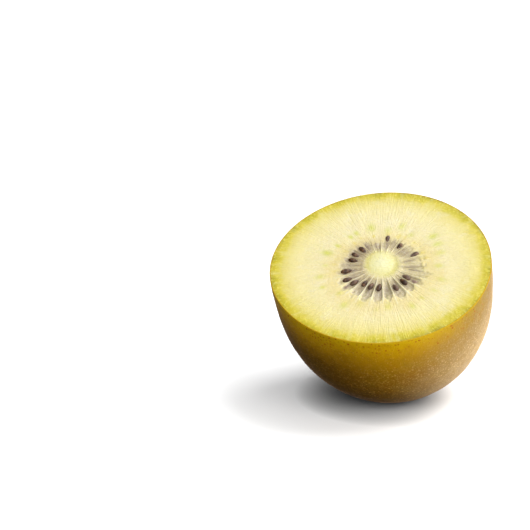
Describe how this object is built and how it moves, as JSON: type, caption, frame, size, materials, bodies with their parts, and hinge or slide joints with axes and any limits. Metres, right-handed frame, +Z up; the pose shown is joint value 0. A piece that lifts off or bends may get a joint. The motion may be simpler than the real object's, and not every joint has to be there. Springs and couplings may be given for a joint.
{
  "type": "golden kiwi fruit half",
  "caption": "Half of a golden kiwi fruit, cut across its middle: brown domed skin, pale yellow flesh, a cream core and a ring of dark seeds, lying tilted on a small flat spot.",
  "frame": {"origin": "middle of the small flat spot that the half rests on, on the underside of the dome", "axes": "+Z up from the surface it rests on; the cut face looks along +Z leaned 27.15 degrees towards -Y; +X runs level along the cut face"},
  "size_m": [0.0521, 0.0532, 0.0459],
  "materials": {
    "skin": "satin",
    "flesh": "gloss",
    "seed": "gloss",
    "blossom_end": "matte"
  },
  "bodies": {
    "root": {"kiwi_half": "skin"}
  },
  "joints": []
}
